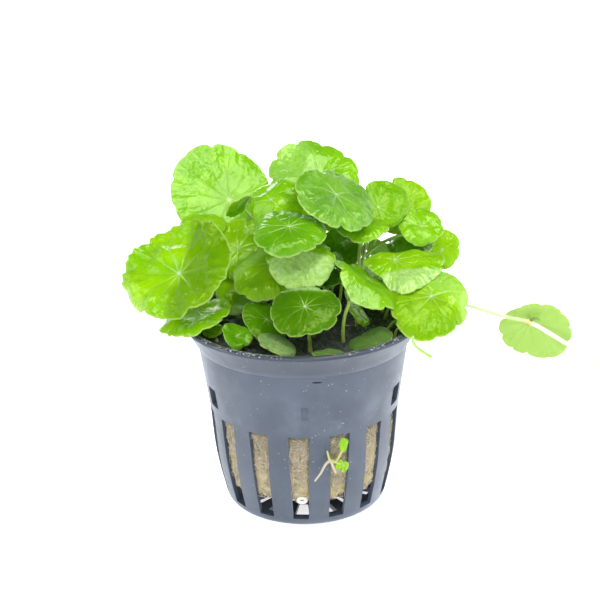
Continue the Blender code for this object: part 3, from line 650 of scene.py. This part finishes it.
# The form of single leaves. Shift moves the whole leaf and middle its heart, in millimetres.
# Fold is (amount, direction), droop is how far the edge curls down, in degrees, and crinkle
# scales the bumps. Wings bend a side up or down: (amount, direction, where it starts).
# Stretch is (amount, direction, narrowness) and notches are (direction, depth). Darkness and
# sheen, over the whole blade, makes the leaf's tone darker, and where negative paints a pale
# sheen. Shade and sheen, in rows like those of the wings, paints shade on one side of the blade,
# and where negative paints a pale sheen there.
FORMS = {
    "rim_front_small": {"shift": (-0.4, -2.4, -0.3), "middle": (0, -2.2), "crinkle": 0.6},
    "rim_front": {
        "shift": (0.3, -3, 0.1), "middle": (3, 0), "crinkle": 0.5, "stretch": [(0.1, 0)], "darkness_and_sheen": -0.4,
    },
    "rim_right": {"shift": (1.4, -3.1, -0.7), "middle": (-3.2, 0), "crinkle": 0.6},
    "front": {
        "shift": (0, 0, 0.7), "droop": 20, "crinkle": 0.4, "wings": [(-0.15, 90, 0.7)], "darkness_and_sheen": 0.4,
        "shade_and_sheen": [(-1.3, 90, 0.5)],
    },
    "rim_left": {"fold": (0.3, 60)},
    "front_left": {
        "shift": (1, 0, -0.8), "crinkle": 0.35, "stretch": [(-0.15, 30), (-0.15, 180)], "darkness_and_sheen": 0.35,
    },
    "slender": {"shift": (0, 0, 0.6), "fold": (0.2, 0), "stretch": [(0.2, 90)]},
    "front_right": {
        "shift": (0, 1.2, -0.4), "middle": (-1, -1), "crinkle": 0.6,
        "stretch": [(-0.14, 150, 3), (0.06, -130, 3)],
        "notches": [
            (30, 0), (65, 0), (100, 0.01), (135, 0.02), (168, 0.03),
            (203, 0.1), (235, 0.1), (266, 0.08), (304, 0.08), (348, 0.12),
        ],
        "darkness_and_sheen": 0.38, "shade_and_sheen": [(-0.75, 40, 0.1)],
    },
    "slanted": {
        "shift": (1.2, -2.5, 1.9), "middle": (-1, 0), "fold": (0.1, 20), "droop": 28, "crinkle": 0.8,
        "wings": [(-0.4, 165, 0.55)], "stretch": [(-0.14, 150), (-0.3, 0, 3)], "darkness_and_sheen": 0.22,
        "shade_and_sheen": [(-0.5, 165, 0.55)],
    },
    "folded": {
        "shift": (0, -4.4, 1.6), "middle": (1, -2), "fold": (0.2, 0), "droop": 8, "crinkle": 0.9,
        "wings": [(-0.15, -92, 0.05), (-0.6, 90, 0.36)],
        "stretch": [(-0.38, -140, 4), (-0.1, -45, 4), (0.14, 12, 6)],
        "shade_and_sheen": [(0.35, 90, -0.05), (-0.9, -80, 0.25)],
    },
    "centre": {"middle": (0, -1), "droop": 38, "crinkle": 0.75, "stretch": [(-0.12, -90)], "darkness_and_sheen": 0.08},
    "under_centre": {
        "shift": (0, 0, 1.2), "middle": (0, -3), "droop": 25, "crinkle": 1.5, "wings": [(-0.3, -80, 0.1)],
        "stretch": [(-0.26, -90)], "shade_and_sheen": [(-0.9, -90, 0)],
    },
    "mid_left": {"middle": (0, -2), "crinkle": 1.2, "shade_and_sheen": [(-0.4, 150, 0.3)]},
    "curled": {"shift": (-0.5, 0, -1.6), "fold": (0.3, 0), "stretch": [(0.3, -90)]},
    "under_left": {"middle": (1, -1)},
    "left_low": {"shift": (0.8, 0, -0.3), "crinkle": 0.8, "stretch": [(0.3, 110)], "shade_and_sheen": [(-1, -40, 0.1)]},
    "big_left": {
        "middle": (-1.5, 1), "droop": 42, "crinkle": 2, "wings": [(0.13, 5, 0.1)],
        "stretch": [(0.13, -32)],
        "notches": [
            (30, 0), (70, 0.01), (110, 0.08), (152, 0.11), (180, 0.05),
            (215, 0.05), (255, 0.1), (285, 0.02), (312, 0.1), (345, 0),
        ],
        "shade_and_sheen": [(0.75, 8, -0.05)],
    },
    "left_inner": {"shift": (0, 0, 0.4), "stretch": [(0.1, -60), (0.14, 65)]},
    "upper_mid": {
        "middle": (-1, -1), "droop": 25, "crinkle": 0.9, "stretch": [(-0.16, -112, 4), (0.12, -45, 3)],
        "notches": [
            (30, 0.02), (70, 0.05), (110, 0.04), (150, 0.07),
            (195, 0.05), (243, 0.2), (285, 0.06), (328, 0.05),
        ],
        "shade_and_sheen": [(-0.25, -60, -1)],
    },
    "low_dark": {"shift": (1.6, 0.6, 1.2)},
    "inner_dark": {"stretch": [(0.4, 130), (0.3, 50), (0.4, -75)]},
    "tucked": {"shift": (0, 0, 1.3), "droop": 20, "stretch": [(-0.1, -90)]},
    "right_dark": {"shift": (0.5, 0, 0), "crinkle": 0.6, "stretch": [(0.35, -90)]},
    "curved": {"fold": (-0.35, 0), "crinkle": 1.2, "wings": [(-0.7, 5, 0.25)], "stretch": [(0.15, 5)]},
    "edge_on": {"fold": (0.1, 0)},
    "upper_right": {"shift": (-2.3, 0, -0.8), "middle": (2.2, 0.8), "crinkle": 0.8, "darkness_and_sheen": 0.3},
    "right_upper": {"shift": (1.3, 0, 0.3), "stretch": [(-0.15, -90)]},
    "right_far": {"crinkle": 0.5, "darkness_and_sheen": 0.3},
    "back_right": {
        "middle": (0, 1), "crinkle": 0.6,
        "notches": [
            (20, 0.05), (70, 0.08), (105, 0.2), (160, 0.06),
            (220, 0.08), (265, 0.05), (315, 0.08),
        ],
        "darkness_and_sheen": 0.3,
    },
    "top": {
        "middle": (-1, 0), "droop": 15, "crinkle": 0.6, "stretch": [(-0.1, 30, 4)], "darkness_and_sheen": 0.05,
        "shade_and_sheen": [(-0.4, 190, -0.3)],
    },
    "back_left": {"middle": (-2, 3), "droop": 12, "crinkle": 0.7, "shade_and_sheen": [(-0.2, 225, -0.6)]},
    "back_rim_right": {"shift": (3.2, 0, -2)},
    "on_runner": {"middle": (-1.5, -3), "droop": 6, "crinkle": 0.4},
}


def eased(value, low, high):
    """Ease from 0 to 1 while value goes from low to high."""
    t = np.clip((value - low) / (high - low), 0, 1)
    return t * t * (3 - 2 * t)


def leaf_turn(tilt, heading):
    """The turn of a leaf that tilts by some degrees and then heads another way."""
    return Matrix.Rotation(radians(heading), 3, "Z") @ Matrix.Rotation(radians(tilt), 3, "X")


def vein_gap(growth, share, lobes):
    """How far a point is from the nearest vein, in blade radii, as the shader reckons it."""
    gap = np.abs(growth - np.round(growth))
    for start, end, spread in VEIN_FORKS:
        gap = np.abs(gap - spread * eased(share, start, end))
    return gap * 2 * pi / lobes * share


def blade(
    row, rings, around, middle=(0, 0), fold=(0, 0), droop=30, crinkle=1.0,
    wings=(), stretch=(), notches=(), darkness_and_sheen=0.0, shade_and_sheen=(),
):
    """A blade's upper side, rim and underside, by its row and form, as a part for assemble."""
    at, radius, tilt, heading, turn, cup = row[:6]
    lobes = len(notches) or (6 if radius < 4.5 else 8 if radius < 6.8 else 10)
    share = np.linspace(0, 1, rings + 1)[1:, None] ** 0.75
    angle = (np.arange(around + 1) * 2 * pi / around)[None, :]
    lobe_angle = angle + radians(turn)
    shift = chance.uniform(-1, 1, 6)
    jitter = 0.8 * shift[0] * np.sin(angle) + 0.6 * shift[1] * np.sin(2 * angle + 1)
    jitter = jitter + 0.5 * shift[2] * np.sin(3 * angle)
    growth = (lobes * lobe_angle + jitter) / (2 * pi) + 0.5
    depth = chance.uniform(0.02, 0.12, lobes)
    if notches:
        ways = [way for way, _ in notches]
        depth = np.array([deep for _, deep in notches])
        ways = [ways[-1] - 360, *ways, ways[0] + 360]
        growth = np.interp(np.degrees(angle), ways, np.arange(-0.5, lobes + 1))
    growth = growth + 0 * share
    depth = depth[np.round(growth[:1] - 0.5).astype(int) % lobes]
    notch = depth * (1 - np.abs(np.sin(pi * (growth[:1] - 0.5)))) ** 2.4
    scallop = notch + 0.004 * (1 - np.cos(2 * pi * 3 * growth[:1])) / 2
    uneven = 1 + 0.04 * np.sin(2 * lobe_angle) + 0.03 * np.sin(3 * lobe_angle + 1)
    for amount, way, *narrowness in stretch:
        power = narrowness[0] if narrowness else 2
        uneven = uneven + amount * np.maximum(0, np.cos(angle - radians(way))) ** power
    curl = droop * (0.8 - 0.6 * np.sin(angle + 0.3 * shift[3]))
    curl = curl * (1 + 0.4 * np.sin(3 * lobe_angle + 3 * shift[4]))
    curl = np.radians(curl) * eased(share, 0.62, 1.02)
    steps = np.diff(share, axis=0, prepend=0)
    out = np.cumsum(np.cos(curl) * steps, axis=0)
    reach = radius * out * (1 + 0.5 * (1 / out[-1:].mean() - 1)) * uneven * (1 - scallop * share**5)
    x = reach * np.cos(angle) + middle[0] * share
    y = reach * np.sin(angle) + middle[1] * share
    across = share * np.sin(angle - radians(fold[1]))
    bend = fold[0] * (np.sqrt(across**2 + 0.02) - np.sqrt(0.02))
    height = cup * share**2 + bend + 0.03 * share**2 * np.sin(4 * lobe_angle)
    point_darkness_and_sheen = darkness_and_sheen + 0 * (angle + share)
    for amount, way, start in wings:
        beyond = share * np.cos(angle - radians(way)) - start
        lifted = np.sqrt(beyond**2 + 0.006) + beyond - np.sqrt(start**2 + 0.006) + start
        height = height + amount * lifted
    # Shade and sheen rows paint shade on one side of the blade, and where negative a pale sheen.
    for amount, way, start in shade_and_sheen:
        point_darkness_and_sheen = point_darkness_and_sheen + amount * eased(share * np.cos(angle - radians(way)), start, start + 0.25)
    height = height - np.cumsum(np.sin(curl) * steps, axis=0)
    height = height + 0.03 * (1 - np.exp(-((share / 0.2) ** 2)))
    flat = np.stack([x, y], -1)
    growth = growth + 0.06 * share * np.sin(5 * angle + 6 * share + shift[5] * 3)
    gap = vein_gap(growth, share, lobes)
    vein = np.exp(-((gap / 0.03) ** 2)) * (1 - 0.5 * share)
    bulge = chance.uniform(0.001, 0.012, lobes)[np.floor(growth).astype(int) % lobes]
    bulge = bulge * np.sin(pi * growth) ** 2
    bulge = bulge * eased(share, 0.1, 0.7) * (1 - 0.5 * eased(share, 0.8, 1))
    ripple = 0
    for _ in range(16):
        turns_round, outward = chance.integers(lobes, 4 * lobes), chance.uniform(-9, 9)
        ripple = ripple + np.cos(turns_round * angle + outward * share + chance.uniform(0, 6)) / 3
    pleats = np.cos(2 * pi * 3 * growth) * (0.6 + 0.5 * lumps(flat, radius, 6))
    swell = 0.03 * lumps(flat, radius * 0.8, 8) * eased(share, 0.1, 0.6)
    fine = 0.008 * ripple * eased(share, 0.35, 1.0) ** 1.5 + 0.005 * pleats * share**6
    fine = fine - 0.006 * vein * eased(share, 0, 0.15)
    rough = eased(share, 0.25, 0.8) * (1 - 0.5 * eased(share, 0.85, 1))
    growth = growth + chance.integers(40)
    rough = (0.035 * lumps(flat, 1.5, 24) + 0.07 * lumps(flat, 3, 20)) * rough
    fine = crinkle * (radius * (fine + swell + bulge) + rough)
    base = radius * height
    upper = base + fine
    lower = base + fine * 0.9 - BLADE_THICKNESS * (1 - 0.35 * share**6) - 0.1 * vein
    lower = np.minimum(lower, upper - 0.12)
    turn_to = np.array(leaf_turn(tilt, heading))
    upper = np.concatenate([flat, upper[..., None]], -1)
    lower = np.concatenate([flat, lower[..., None]], -1)
    rim = (upper[-1] + lower[-1]) / 2
    rim[:, :2] += 0.08 * np.stack([np.cos(angle[0]), np.sin(angle[0])], -1)
    points = [upper[:, :-1].reshape(-1, 3), rim[None, :-1].reshape(-1, 3), lower[::-1, :-1].reshape(-1, 3)]
    points = np.vstack(points + [[(0, 0, 0)], [(0, 0, -BLADE_THICKNESS)]])
    points = points @ turn_to.T + np.array(at)
    rows = 2 * rings + 1
    faces = sheet_faces(rows, around)
    u = np.vstack([growth, growth[-1:], growth[::-1]])
    v = np.vstack([share + 0 * angle, 1 + 0 * angle, share[::-1] + 0 * angle])
    corner = [(0, 0), (1, 0), (1, 1), (0, 1)]
    uv = [np.stack([a[i : rows - 1 + i, j : around + j] for i, j in corner], -1) for a in (u, v)]
    uv = np.stack(uv, -1).reshape(-1, 4, 2)
    s = np.arange(around)
    n = (s + 1) % around
    fan = np.stack([s, n, 0 * s + rows * around], -1)
    fan_uv = np.stack([growth[0, :-1], growth[0, 1:], growth[0, :-1]], -1)
    fan_uv = np.stack([fan_uv, np.array([share[0, 0], share[0, 0], 0]) + 0 * fan_uv], -1)
    tail = np.stack([(rows - 1) * around + n, (rows - 1) * around + s, 0 * s + rows * around + 1], -1)
    tail_uv = fan_uv[:, [1, 0, 2]]
    above = np.arange(len(faces)) // around <= rings
    groups = [(faces[above], 0, uv[above]), (faces[~above], 1, uv[~above])]
    groups += [(fan, 0, fan_uv), (tail, 1, tail_uv)]
    point_darkness_and_sheen = np.concatenate([point_darkness_and_sheen[:, :-1].ravel(), point_darkness_and_sheen[-1, :-1], point_darkness_and_sheen[::-1, :-1].ravel(), [darkness_and_sheen, darkness_and_sheen]])
    return points, groups, point_darkness_and_sheen


def stalk(row, radius, start_height=STALK_START, foot_height=STALK_FOOT):
    """The stalk curves up from the wool, then runs straight into the blade."""
    at, tilt, heading = Vector(row[0]), row[2], row[3]
    foot, knee, neck = row[6:9]
    out_of_blade = leaf_turn(tilt, heading) @ Vector((0, 0, 1))
    below = at - out_of_blade * neck
    at = at - out_of_blade * STALK_END_DEPTH
    t = np.linspace(0, 1, 22)[:, None]
    start, bend, below, end = (np.array(p) for p in ((*foot, foot_height), knee, below, at))
    route = (1 - t) ** 3 * start + 3 * (1 - t) ** 2 * t * bend + 3 * (1 - t) * t**2 * below + t**3 * end
    route = np.vstack([[(start[0], start[1], start_height)], route])
    share = np.linspace(0, 1, len(route))
    radii = 1 - 0.25 * share + 0.5 * eased(share, 0.93, 1.0) + 0.35 * eased(share, 0.12, 0.0)
    return round_line(route, radius * radii, 10, 2)


def vein_share(tree):
    """1 on a vein and 0 off it, the share of the radius, each vein's strength, and painted crease shade."""
    growth_map = step(tree, "UVMap", {}, uv_map="growth")
    growth = step(tree, "SeparateXYZ", {0: growth_map})
    share = step(tree, "SeparateXYZ", {0: growth_map}, output=1)
    gap = reckon(tree, "SUBTRACT", growth, reckon(tree, "ROUND", growth))
    gap = reckon(tree, "ABSOLUTE", gap)
    for start, end, spread in VEIN_FORKS:
        fork = between(tree, share, start, end, 0, spread)
        gap = reckon(tree, "ABSOLUTE", reckon(tree, "SUBTRACT", gap, fork))
    gap = times(tree, times(tree, gap, 2 * pi / USUAL_LOBES), share)
    thin = between(tree, share, 0, 1, VEIN_WIDTH, VEIN_WIDTH * 0.45)
    near = between(tree, reckon(tree, "DIVIDE", gap, thin), 0.2, 1.0, 1, 0)
    fading = between(tree, share, 0.05, 1.0, 1, 0.35)
    number = step(tree, "TexWhiteNoise", {"W": reckon(tree, "ROUND", growth)}, noise_dimensions="1D")
    chosen = between(tree, number, 0.1, 0.9, 0.25, 1.0)
    spread = step(tree, "VectorMath", {0: growth_map, 1: (1.5, 1.2, 0)}, operation="MULTIPLY")
    crease_shade = step(tree, "TexNoise", {"Vector": spread, "Scale": 1.3, "Detail": 3.0, "Roughness": 0.55})
    crease_shade = times(tree, between(tree, crease_shade, 0.45, 0.72), between(tree, share, 0.15, 0.5))
    return times(tree, near, fading), share, chosen, crease_shade


def leaf_skin(name, tone, under=False):
    """The green skin of a leaf, on its upper side or its underside."""
    dark, light, glow = TONES[tone]
    material, tree, output, where = fresh_material(name)
    patches = between(tree, grain(tree, where, 7, 3, 0.6), 0.3, 0.7)
    colour = tinted(tree, patches, dark, light)
    mottle = between(tree, grain(tree, where, 1.1, 4, 0.6), 0.4, 0.75, 0, 0.3)
    colour = tinted(tree, mottle, colour, dark)
    # The darkness and sheen of each point makes the skin darker: over a whole blade it is the leaf's own
    # darker tone, and on one side of a blade it is painted shade.
    darkness_and_sheen = step(tree, "Attribute", {}, output=2, attribute_name="darkness_and_sheen")
    colour = tinted(tree, darkness_and_sheen, colour, tuple(c * 0.42 for c in dark))
    # Where the darkness and sheen is negative, the skin is painted with a pale, broken sheen.
    pale_painted_sheen = between(tree, grain(tree, where, 0.8, 4, 0.7), 0.36, 0.6, 0.3, 1)
    pale_painted_sheen = times(tree, between(tree, darkness_and_sheen, -0.05, -0.8), pale_painted_sheen)
    colour = tinted(tree, times(tree, pale_painted_sheen, 0.7), colour, (0.66, 0.88, 0.42))
    vein, share, chosen, crease_shade = vein_share(tree)
    # Soft streaks darken the skin along the creases: painted shade.
    colour = tinted(tree, times(tree, crease_shade, 0.35), colour, dark)
    strength = times(tree, chosen, between(tree, share, 0.06, 0.45, 1, 0.15))
    if under:
        colour = tinted(tree, 0.3, colour, (0.26, 0.42, 0.13))
        strength = 0.25 if tone == "dull" else 0.55
    vein_colour = (0.36, 0.55, 0.14) if under else (0.42, 0.64, 0.2)
    colour = tinted(tree, times(tree, vein, strength), colour, vein_colour)
    heart = between(tree, share, 0.055, 0.01, 0, 0.2 if tone == "dull" else 0.9)
    colour = tinted(tree, times(tree, heart, 0.95), colour, (0.6, 0.76, 0.48))
    edge = between(tree, share, 0.965, 0.99, 0, 0.6)
    colour = tinted(tree, edge, colour, (0.42, 0.6, 0.16))
    cells = step(tree, "TexVoronoi", {"Vector": where, "Scale": 900}, feature="DISTANCE_TO_EDGE")
    cells = between(tree, cells, 0, 0.35)
    bumps = reckon(tree, "ADD", grain(tree, where, 1.1, 3, 0.5), times(tree, vein, -0.4))
    bumps = reckon(tree, "ADD", bumps, times(tree, cells, 0.25))
    pressed = between(tree, share, 0.1, 0.8, 0.3, 0.7)
    relief = step(tree, "Bump", {"Strength": pressed, "Distance": 0.0002, "Height": bumps})
    gloss = 0.5 if under else between(tree, grain(tree, where, 2.5, 3), 0.35, 0.65, 0.15, 0.26)
    shader = {"Base Color": colour, "Roughness": gloss, "Normal": relief, "Specular IOR Level": 0.42}
    shader["Specular Tint"] = (0.85, 1, 0.25, 1)
    if not under:
        shine = between(tree, darkness_and_sheen, 0.0, 0.4, 0.5, 0.08)
        shader.update({"Coat Weight": shine, "Coat Roughness": 0.08, "Coat Normal": relief})
    skin = step(tree, "BsdfPrincipled", shader)
    through = tinted(tree, times(tree, vein, 0.4), glow, (0.5, 0.7, 0.12))
    through = step(tree, "BsdfTranslucent", {"Color": through, "Normal": relief})
    both = step(tree, "MixShader", {0: 0.35, 1: skin, 2: through})
    tree.links.new(both, output.inputs["Surface"])
    return material


def stalk_skin(name, light, dark, foot=(0.2, 0.13, 0.05)):
    """The smooth skin of a stalk, stem or root, which goes into its foot's colour low down."""
    material, tree, output, where = fresh_material(name)
    height = in_mm(tree, where, 2)
    colour = tinted(tree, grain(tree, where, 2.5, 3), dark, light)
    colour = tinted(tree, between(tree, height, 44.5, 41.2, 0, 0.6), colour, foot)
    shader = {"Base Color": colour, "Roughness": 0.35, "Subsurface Weight": 0.15}
    shader["Subsurface Radius"] = (0.0006, 0.0008, 0.0003)
    finish_with(tree, output, shader)
    return material


skins = {}
for tone in TONES:
    upper_skin = leaf_skin("leaf_" + tone, tone, tone == "dull")
    skins[tone] = (upper_skin, leaf_skin("leaf_under_" + tone, tone, True))
stalk_green = stalk_skin("leaf_stalk", (0.52, 0.7, 0.14), (0.28, 0.48, 0.06))

for name, (tone, *row) in LEAVES.items():
    radius = row[1]
    form = dict(FORMS.get(name, {}))
    row[0] = tuple(a + b for a, b in zip(row[0], form.pop("shift", (0, 0, 0))))
    rings, around = (38, 168) if radius > 8.9 else (20, 88) if radius < 5.2 else (30, 128)
    parts = [blade(row, rings, around, **form), stalk(row, 0.44 if radius > 4.5 else 0.38)]
    made = assemble("pennywort_" + name, parts, [*skins[tone], stalk_green])
    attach(made, "root")
    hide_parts("leaf_" + name)

# Runner. A pale creeping stem climbs over the rim and hangs in the air. At its node grows one
# leaf, whose underside faces the camera, with a tiny bud, and the stem beyond is whiter.
RUNNER_LEAF = ((53, 1.5, 41), 8.25, 72, 169, 10, 0, (52.5, 0.4), (52.6, 0.7, 40.9), 0.4)
RUNNER_ROUTE = [
    (21.5, 0.5, 40.7), (22.8, 0.6, 44.5), (25.6, 0.6, 46.6), (29.5, 0.5, 46.9), (34, 0.3, 46.4),
    (39.6, 0, 45.2), (45.5, -0.4, 43.2), (52.1, -0.7, 41.6), (56.5, -0.5, 39.0), (61.2, -0.2, 35.8),
    (65.6, 0, 32.8), (69.6, 0, 30), (73.5, 0.2, 27.4), (76.5, 0.4, 26.4),
]
NODE_REACH = 52.3
BUD_ROUTE = [(52.3, -0.9, 41.9), (53.1, -1.3, 42.5), (53.9, -1.4, 42.6), (54.6, -1.3, 42.2)]
TONES["pale"] = ((0.4, 0.62, 0.12), (0.52, 0.72, 0.22), (0.6, 0.8, 0.3))
pale_skins = [leaf_skin("pale_leaf", "pale"), leaf_skin("pale_leaf_under", "pale", True)]
pale_stalk = stalk_skin("pale_stalk", (0.62, 0.7, 0.4), (0.45, 0.58, 0.25))
parts = [blade(RUNNER_LEAF, 30, 144, **FORMS["on_runner"]), stalk(RUNNER_LEAF, 0.45, 40.5, 40.9)]
runner_leaf = assemble("pennywort_on_runner", parts, [*pale_skins, pale_stalk])
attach(runner_leaf, "root")
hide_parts("leaf_on_runner")

runner_skin, tree, output, where = fresh_material("runner_skin")
sideways = in_mm(tree, where, 0)
colour = tinted(tree, grain(tree, where, 2, 3), (0.4, 0.52, 0.22), (0.56, 0.66, 0.36))
beyond = between(tree, sideways, 70, 60, 0.35, 0.85)
beyond = times(tree, between(tree, sideways, 52.3, 53.2), beyond)
colour = tinted(tree, beyond, colour, (0.85, 0.88, 0.76))
node_ring = times(tree, between(tree, sideways, 50.8, 51.9), between(tree, sideways, 53.1, 52.4))
colour = tinted(tree, times(tree, node_ring, 0.7), colour, (0.55, 0.5, 0.12))
finish_with(tree, output, {"Base Color": colour, "Roughness": 0.4})
route = softened(RUNNER_ROUTE, 8)
reach = route[:, 0]
radii = 0.4 + 0.28 * np.exp(-(((reach - NODE_REACH) / 0.8) ** 2)) + 0.08 * eased(reach, 52, 53)
radii = radii - 0.22 * eased(reach, 58, 76)
bud_route = softened(BUD_ROUTE, 5)
bud = round_line(bud_route, 0.36 * np.sin(np.linspace(0.4, 3.0, len(bud_route))) + 0.04, 10, 1)
bud_skin = stalk_skin("bud_skin", (0.2, 0.42, 0.03), (0.1, 0.28, 0.02))
runner = assemble("runner_stem", [round_line(route, radii, 12), bud], [runner_skin, bud_skin])
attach(runner, "root")
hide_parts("runner")

# Curled shoot. A young green stem leans over the rim on the right and curls down. It is one
# round stem from the wool to its tip, and ends in a small knob.
SHOOT_ROUTE = [
    (20.3, -9.5, 40.7), (20.9, -11, 44.4), (22.6, -14.2, 45.8), (23.7, -16.1, 45.2), (23.9, -16.4, 43.6),
    (24.7, -16.3, 42.3), (26, -16.2, 41.2), (27.2, -16.1, 40.3), (27.9, -16, 39.9),
]
route = softened(SHOOT_ROUTE, 7)
knob = np.exp(-(((np.linspace(0, 1, len(route)) - 0.98) / 0.03) ** 2))
shoot_skin = stalk_skin("shoot_skin", (0.5, 0.66, 0.2), (0.32, 0.55, 0.08), (0.32, 0.55, 0.08))
shoot = assemble("curled_shoot_stem", [round_line(route, 0.34 + 0.2 * knob, 12)], [shoot_skin])
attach(shoot, "root")
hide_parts("curled_shoot")

# Plantlet. A side shoot has come out of the wool through a slot, with a pale stem, white
# roots from its node and three tiny leaves.
STEM = [(6.4, -19.6, 17.6), (6.4, -21.4, 17.9), (5.4, -22.6, 18.5), (6.6, -22.4, 18.2), (8, -22, 20.6)]
BRANCHES = [  # two roots, then two side stalks
    [(5.3, -22.6, 18.5), (4.3, -22.8, 17.6), (3.2, -23, 15.6), (1.9, -23.1, 13.8)],
    [(5.5, -22.6, 18.4), (6, -22.5, 16.8), (6.6, -22.2, 15.4)],
    [(5.3, -22.6, 18.4), (4.7, -22.7, 20.9)],
    [(6.2, -22.4, 18.2), (7.2, -22.3, 17.6), (8.3, -21.9, 17)],
]
TINY_LEAVES = [
    ((8.2, -21.9, 20.9), 1.7, 80, 35, 0, -0.1, (0.6, 0.6)),
    ((7.1, -22.3, 17.6), 1.2, 60, 10, 0, 0, (0.2, -0.2)),
    ((8.2, -21.9, 17.1), 1.4, 85, 30, 0, 0, (0.5, -0.9)),
]
TINY_LEAF_STRETCH = [(-0.3, 0), (-0.35, 180), (-0.2, -70, 4)]
stem_skin = stalk_skin("plantlet_stem", (0.68, 0.78, 0.32), (0.5, 0.66, 0.16))
root_skin = stalk_skin("plantlet_root", (0.86, 0.84, 0.72), (0.74, 0.7, 0.52))
line = softened(STEM, 6)
parts = [round_line(line, np.linspace(0.34, 0.3, len(line)), 10, 2)]
for places, tip, skin_number in zip(BRANCHES, (0.2, 0.34, 0.2, 0.2), (3, 3, 2, 2)):
    line = softened(places, 6)
    parts.append(round_line(line, np.linspace(0.32, tip, len(line)), 10, skin_number))
for *row, middle in TINY_LEAVES:
    parts.append(blade(row, 12, 56, middle, crinkle=1.4, stretch=TINY_LEAF_STRETCH))
plantlet = assemble("slot_shoot", parts, [*skins["lime"], stem_skin, root_skin])
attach(plantlet, "root")
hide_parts("slot_plantlet")

# Root curl. The cut end of a fat white root curls round at the frayed foot of the wool, and
# shows in the front slot.
CURL_PLACE = (-1.0, -19.85, 7.2)
CURL_START = (-2.1, -18.9, 8)
turns = np.linspace(0.2, 2 * pi + 0.6, 28)
curl = np.stack([0.95 * np.sin(turns), 0.12 * np.cos(turns), 0.5 * np.cos(turns)], -1)
curl = np.vstack([[CURL_START], np.array(CURL_PLACE) + curl])
curl_skin, tree, output, where = fresh_material("curl_white")
colour = tinted(tree, grain(tree, where, 0.8, 3), (0.48, 0.46, 0.4), (0.78, 0.77, 0.72))
finish_with(tree, output, {"Base Color": colour, "Roughness": 0.4})
root = assemble("root_curl_ring", [round_line(curl, 0.42, 10)], [curl_skin])
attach(root, "root")
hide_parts("root_curl")
